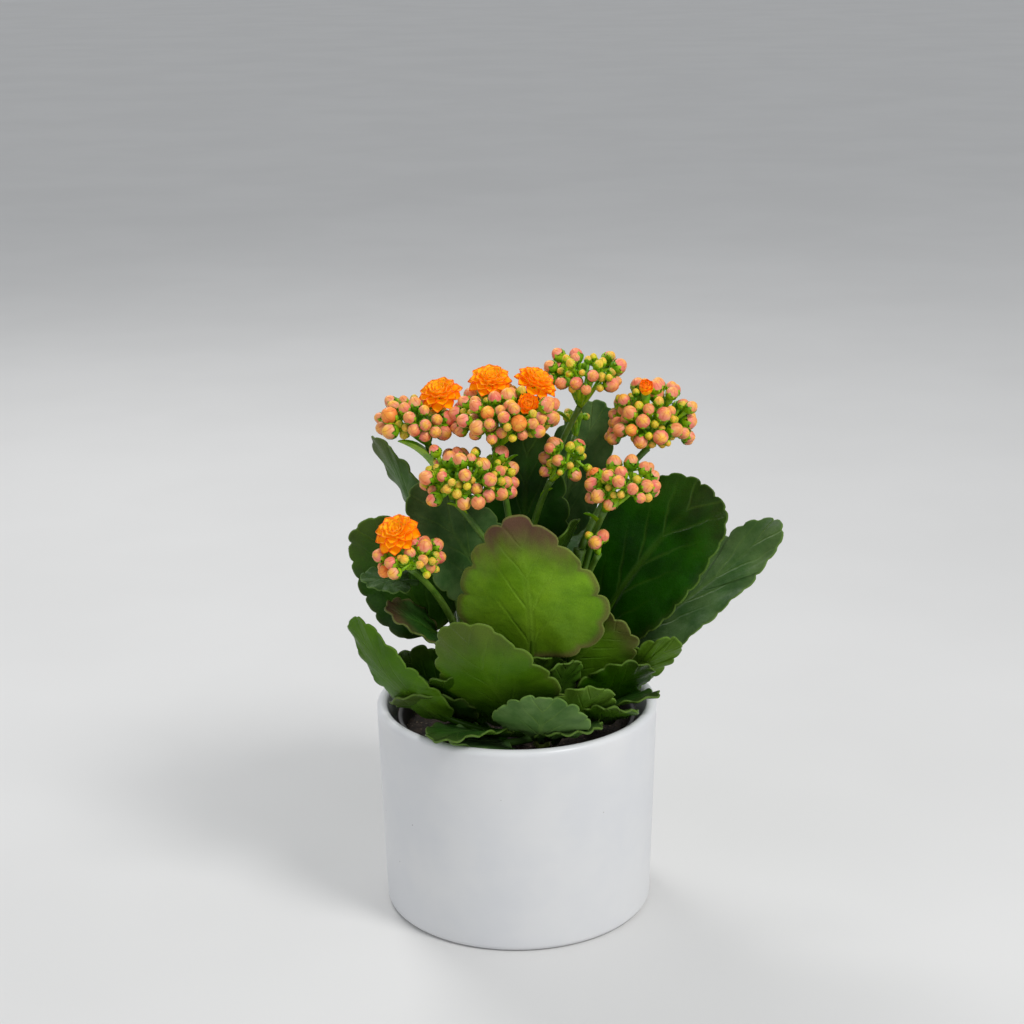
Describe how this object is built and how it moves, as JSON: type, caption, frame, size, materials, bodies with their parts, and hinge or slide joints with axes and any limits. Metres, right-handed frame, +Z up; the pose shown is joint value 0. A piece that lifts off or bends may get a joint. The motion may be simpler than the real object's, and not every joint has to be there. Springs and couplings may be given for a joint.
{
  "type": "potted kalanchoe",
  "caption": "Kalanchoe with double orange flowers, salmon buds and scalloped fleshy leaves, growing in a plain white straight-sided cover pot.",
  "frame": {"origin": "centre of the cover pot's flat foot, on the surface it stands on", "axes": "+Z up along the pot's axis, -Y towards the plant's front, +X to its right"},
  "size_m": [0.2136, 0.174, 0.2796],
  "materials": {
    "cover_pot_ceramic": "matte off-white with a slightly satin lip",
    "grow_pot_plastic": "thin dark brown moulded plastic",
    "potting_soil": "moist crumbly peat",
    "stem": "smooth green, slightly satin",
    "leaf": "fleshy green with a waxy sheen, paler underneath, reddish margins",
    "bud": "salmon petals furled over a green calyx",
    "petal": "soft orange petals, redder at their edges"
  },
  "bodies": {
    "root": {"cover_pot": "cover_pot_ceramic", "grow_pot": "grow_pot_plastic", "soil": "potting_soil", "stem_centre": "stem", "stem_left": "stem", "stem_right": "stem", "stem_front": "stem", "stem_back": "stem", "leaf_front_tall": "leaf", "leaf_front_right": "leaf", "leaf_front_left": "leaf", "leaf_front_low": "leaf", "leaf_rim_front": "leaf", "leaf_rim_left": "leaf", "leaf_left_low": "leaf", "leaf_left_dark": "leaf", "leaf_left_narrow": "leaf", "leaf_left_broad": "leaf", "leaf_left_oval": "leaf", "leaf_left_brown": "leaf", "leaf_left_shaded": "leaf", "leaf_right_dark": "leaf", "leaf_right_far": "leaf", "leaf_right_light": "leaf", "leaf_right_rim": "leaf", "leaf_right_small": "leaf", "leaf_centre_tall": "leaf", "leaf_centre_low": "leaf", "leaf_centre_dark": "leaf", "leaf_top_right": "leaf", "leaf_back_left": "leaf", "leaf_back_right": "leaf", "leaf_back_mid": "leaf", "leaf_back_tall": "leaf", "stalk_far_left": "stem", "stalk_left": "stem", "stalk_mid_left": "stem", "stalk_centre": "stem", "stalk_centre_right": "stem", "stalk_right": "stem", "stalk_top": "stem", "stalk_back_small": "stem", "stalk_low_left": "stem", "stalk_tiny": "stem", "buds_far_left": "bud", "buds_left": "bud", "buds_mid_left": "bud", "buds_centre": "bud", "buds_centre_right": "bud", "buds_right": "bud", "buds_top": "bud", "buds_back_small": "bud", "buds_low_left": "bud", "buds_tiny": "bud", "open_flower_left": "petal", "open_flower_mid": "petal", "open_flower_right": "petal", "open_flower_half": "petal", "open_flower_low": "petal", "open_flower_young": "petal"}
  },
  "joints": []
}
